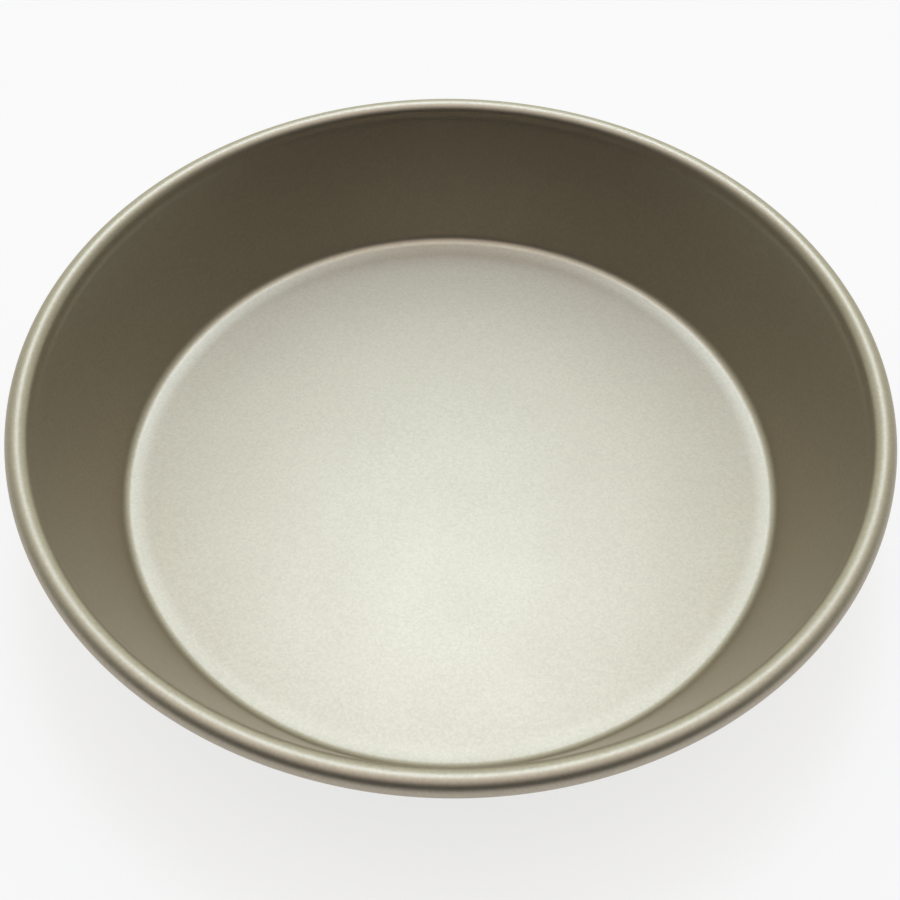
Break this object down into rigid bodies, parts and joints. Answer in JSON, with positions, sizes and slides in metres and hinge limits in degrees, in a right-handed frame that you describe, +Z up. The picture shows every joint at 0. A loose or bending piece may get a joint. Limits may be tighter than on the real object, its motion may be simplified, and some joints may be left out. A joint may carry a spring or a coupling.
{
  "type": "round cake pan",
  "caption": "Round tapered cake pan drawn from one coated steel sheet, with a rim rolled round a steel wire and a small radius between floor and wall.",
  "frame": {"origin": "middle of the flat underside, on the surface that the pan stands on", "axes": "+Z up along the pan's axis of symmetry, +X and +Y in the plane it stands on"},
  "size_m": [0.245, 0.245, 0.0459],
  "materials": {
    "champagne_coating": "satin champagne metallic non-stick coating on drawn steel sheet, with a fine sparkle in its grain",
    "plain_steel": "plain drawn steel wire, hidden inside the rolled rim"
  },
  "bodies": {
    "root": {"pan_shell": "champagne_coating", "rim_wire": "plain_steel"}
  },
  "joints": []
}
